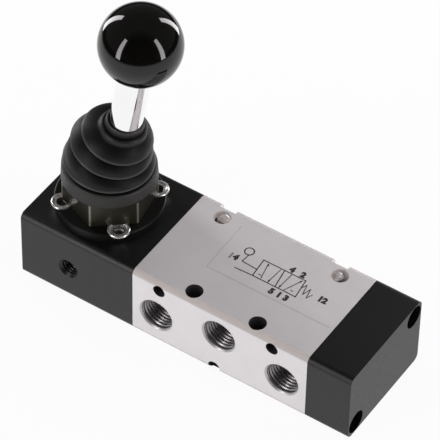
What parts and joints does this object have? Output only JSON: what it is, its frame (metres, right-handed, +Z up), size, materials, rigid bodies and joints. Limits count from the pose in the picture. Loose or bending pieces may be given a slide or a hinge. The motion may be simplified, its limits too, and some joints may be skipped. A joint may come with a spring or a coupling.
{
  "type": "hand lever air valve",
  "caption": "Hand lever spool valve: ported body, lever housing, end cap with return spring, sprung joystick lever with ball knob and rubber boot.",
  "frame": {"origin": "centre of the valve body's underside", "axes": "+X along the spool towards the end cap, the lever housing is at -X; -Y is the face with ports 5, 1 and 3; +Z up, the lever stands on +Z"},
  "size_m": [0.0935, 0.031, 0.0872],
  "materials": {
    "silver_anodised": "satin anodised",
    "black_anodised": "satin black anodised",
    "black_anodised_disc": "satin black anodised",
    "seal_rubber": "matte",
    "spacer_plastic": "matte",
    "aluminium_spool": "ground",
    "brass_small": "turned",
    "spring_steel": "bright",
    "steel_turned": "turned",
    "chromed_steel": "bright plated",
    "black_knob": "glossy",
    "black_oxide_steel": "black oxide, semi-gloss",
    "zinc_steel": "bright zinc",
    "black_screw": "black oxide",
    "boot_rubber": "matte"
  },
  "bodies": {
    "valve": {"valve_body": "silver_anodised", "lever_housing": "black_anodised", "end_cap": "black_anodised", "seal_rings": "seal_rubber", "seal_spacers": "spacer_plastic", "end_rings": "spacer_plastic", "face_seal": "seal_rubber", "return_spring": "spring_steel", "flange_disc": "black_anodised_disc", "hex_collar": "black_oxide_steel", "flange_screws": "zinc_steel", "cap_screws": "black_screw", "housing_screws": "black_screw", "boot": "boot_rubber"},
    "lever": {"swivel": "steel_turned", "pivot_pin": "steel_turned", "lever_rod": "chromed_steel", "ball_knob": "black_knob", "knob_insert": "brass_small"},
    "spool": {"spool": "aluminium_spool", "driver": "steel_turned", "spring_seat": "brass_small"}
  },
  "joints": [
    {"name": "lever_tilt", "type": "hinge", "parent": "valve", "child": "lever", "pos_m": [-0.0417, 0, 0.0205], "axis": [0, 1, 0], "range_deg": [-17.84, 0], "stiffness_Nm_per_rad": 0.15, "springref_deg": 17.19, "deforming": ["boot"]},
    {"name": "spool_slide", "type": "slide", "parent": "valve", "child": "spool", "axis": [1, 0, 0], "range_m": [0, 0.00338], "deforming": ["return_spring"]}
  ],
  "couplings": [
    {"joint": "spool_slide", "follows": "lever_tilt", "m_per_rad": -0.010856}
  ]
}
